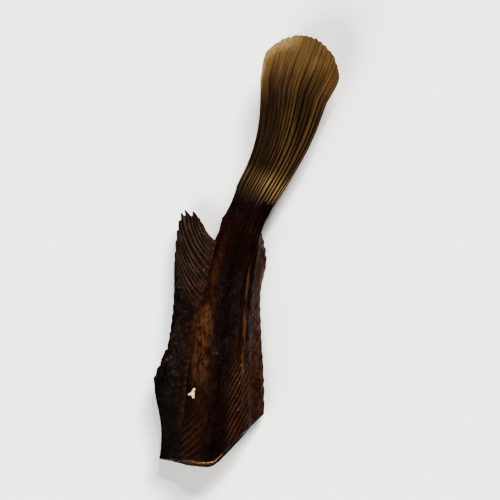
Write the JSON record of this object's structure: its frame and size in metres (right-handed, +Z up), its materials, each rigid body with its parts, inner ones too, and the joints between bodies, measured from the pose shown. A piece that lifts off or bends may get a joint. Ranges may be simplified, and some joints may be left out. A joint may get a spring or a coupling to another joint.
{
  "type": "dried catfish",
  "caption": "Tail end of a dried catfish lying on its side: a dark, skin-covered trunk cut at an angle, a rounded ribbed tail fin, and low ribbed fins along its back and belly.",
  "frame": {"origin": "middle of the outline seen from above, on the plane that the piece rests on", "axes": "+Y from the chopped end to the tip of the tail fin, +X towards the anal fin on the belly edge, +Z up out of the side that faces the camera"},
  "size_m": [0.0788, 0.184, 0.0176],
  "materials": {
    "dried_skin": "dark, oily dried fish skin with amber streaks, glossy over a fine grain",
    "fin_web": "amber, half-translucent dried fin web between bony rays, satin"
  },
  "bodies": {
    "root": {"trunk": "dried_skin", "tail_fin": "fin_web", "dorsal_fin": "fin_web", "anal_fin": "fin_web"}
  },
  "joints": []
}
